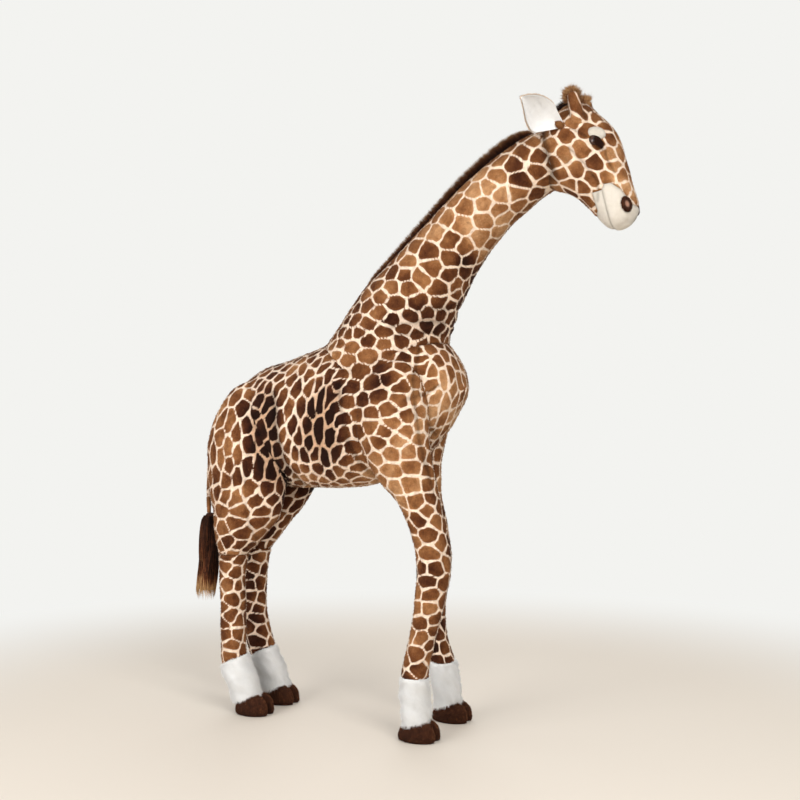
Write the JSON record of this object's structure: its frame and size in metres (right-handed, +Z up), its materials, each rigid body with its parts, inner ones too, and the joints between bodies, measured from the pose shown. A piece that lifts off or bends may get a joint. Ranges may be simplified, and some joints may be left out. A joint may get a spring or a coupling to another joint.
{
  "type": "plush giraffe",
  "caption": "Tall standing stuffed toy giraffe on an inner steel frame, with patched plush, white socks, crest mane and tufted tail.",
  "frame": {"origin": "on the floor, under the middle of the whole outline", "axes": "+X the way the giraffe faces, +Y its left side, +Z up"},
  "size_m": [1.0522, 0.3338, 1.3331],
  "materials": {
    "patched_plush": "short pile plush, brown patches on cream lines",
    "dark_pile": "dark brown pile",
    "white_plush": "white short plush",
    "cream_plush": "cream short plush",
    "eye_plastic": "polished",
    "washer_plastic": "moulded",
    "frame_steel": "drawn rod"
  },
  "bodies": {
    "root": {"torso": "patched_plush", "neck": "patched_plush", "mane": "dark_pile", "foreleg_right": "patched_plush", "foreleg_left": "patched_plush", "hind_thigh_right": "patched_plush", "hind_thigh_left": "patched_plush", "hind_shank_right": "patched_plush", "hind_shank_left": "patched_plush", "sock_fore_right": "white_plush", "sock_fore_left": "white_plush", "sock_hind_right": "white_plush", "sock_hind_left": "white_plush", "hoof_fore_right": "dark_pile", "hoof_fore_left": "dark_pile", "hoof_hind_right": "dark_pile", "hoof_hind_left": "dark_pile", "backbone_rod": "frame_steel", "fore_rod_right": "frame_steel", "fore_rod_left": "frame_steel", "hind_rod_right": "frame_steel", "hind_rod_left": "frame_steel"},
    "head_wire": {"head_wire": "frame_steel"},
    "head": {"head": "patched_plush", "muzzle": "cream_plush", "lower_jaw": "cream_plush", "eye_right": "eye_plastic", "eye_left": "eye_plastic", "eye_washer_right": "washer_plastic", "eye_washer_left": "washer_plastic", "eyelid_right": "white_plush", "eyelid_left": "white_plush", "eyelashes_right": "eye_plastic", "eyelashes_left": "eye_plastic", "nostril_right": "dark_pile", "nostril_left": "dark_pile", "ossicone_right": "patched_plush", "ossicone_left": "patched_plush", "ossicone_tuft_right": "dark_pile", "ossicone_tuft_left": "dark_pile"},
    "ear_right": {"ear_right": "patched_plush", "ear_lining_right": "white_plush"},
    "ear_left": {"ear_left": "patched_plush", "ear_lining_left": "white_plush"},
    "tail_dock": {"tail_dock": "patched_plush"},
    "tail_cord": {"tail_cord": "patched_plush"},
    "tail_tuft": {"tail_tuft": "dark_pile"}
  },
  "joints": [
    {"name": "head_nod", "type": "hinge", "parent": "root", "child": "head_wire", "pos_m": [0.3472, 0, 1.199], "axis": [0, 1, 0], "range_deg": [-12, 12]},
    {"name": "head_turn", "type": "hinge", "parent": "head_wire", "child": "head", "pos_m": [0.3472, 0, 1.199], "axis": [1, 0, 0], "range_deg": [-20, 20]},
    {"name": "ear_flop_right", "type": "hinge", "parent": "head", "child": "ear_right", "pos_m": [0.3872, -0.058, 1.253], "axis": [1, 0, 0], "range_deg": [-15, 25], "stiffness_Nm_per_rad": 0.1},
    {"name": "ear_flop_left", "type": "hinge", "parent": "head", "child": "ear_left", "pos_m": [0.3872, 0.058, 1.253], "axis": [-1, 0, 0], "range_deg": [-15, 25], "stiffness_Nm_per_rad": 0.1},
    {"name": "tail_wag", "type": "hinge", "parent": "root", "child": "tail_dock", "pos_m": [-0.45914, 0, 0.668], "axis": [1, 0, 0], "range_deg": [-35, 35]},
    {"name": "tail_lift", "type": "hinge", "parent": "tail_dock", "child": "tail_cord", "pos_m": [-0.45914, 0, 0.668], "axis": [0, 1, 0], "range_deg": [0, 70]},
    {"name": "tuft_swing", "type": "hinge", "parent": "tail_cord", "child": "tail_tuft", "pos_m": [-0.49914, 0, 0.442], "axis": [0, 1, 0], "range_deg": [-10, 30]}
  ]
}
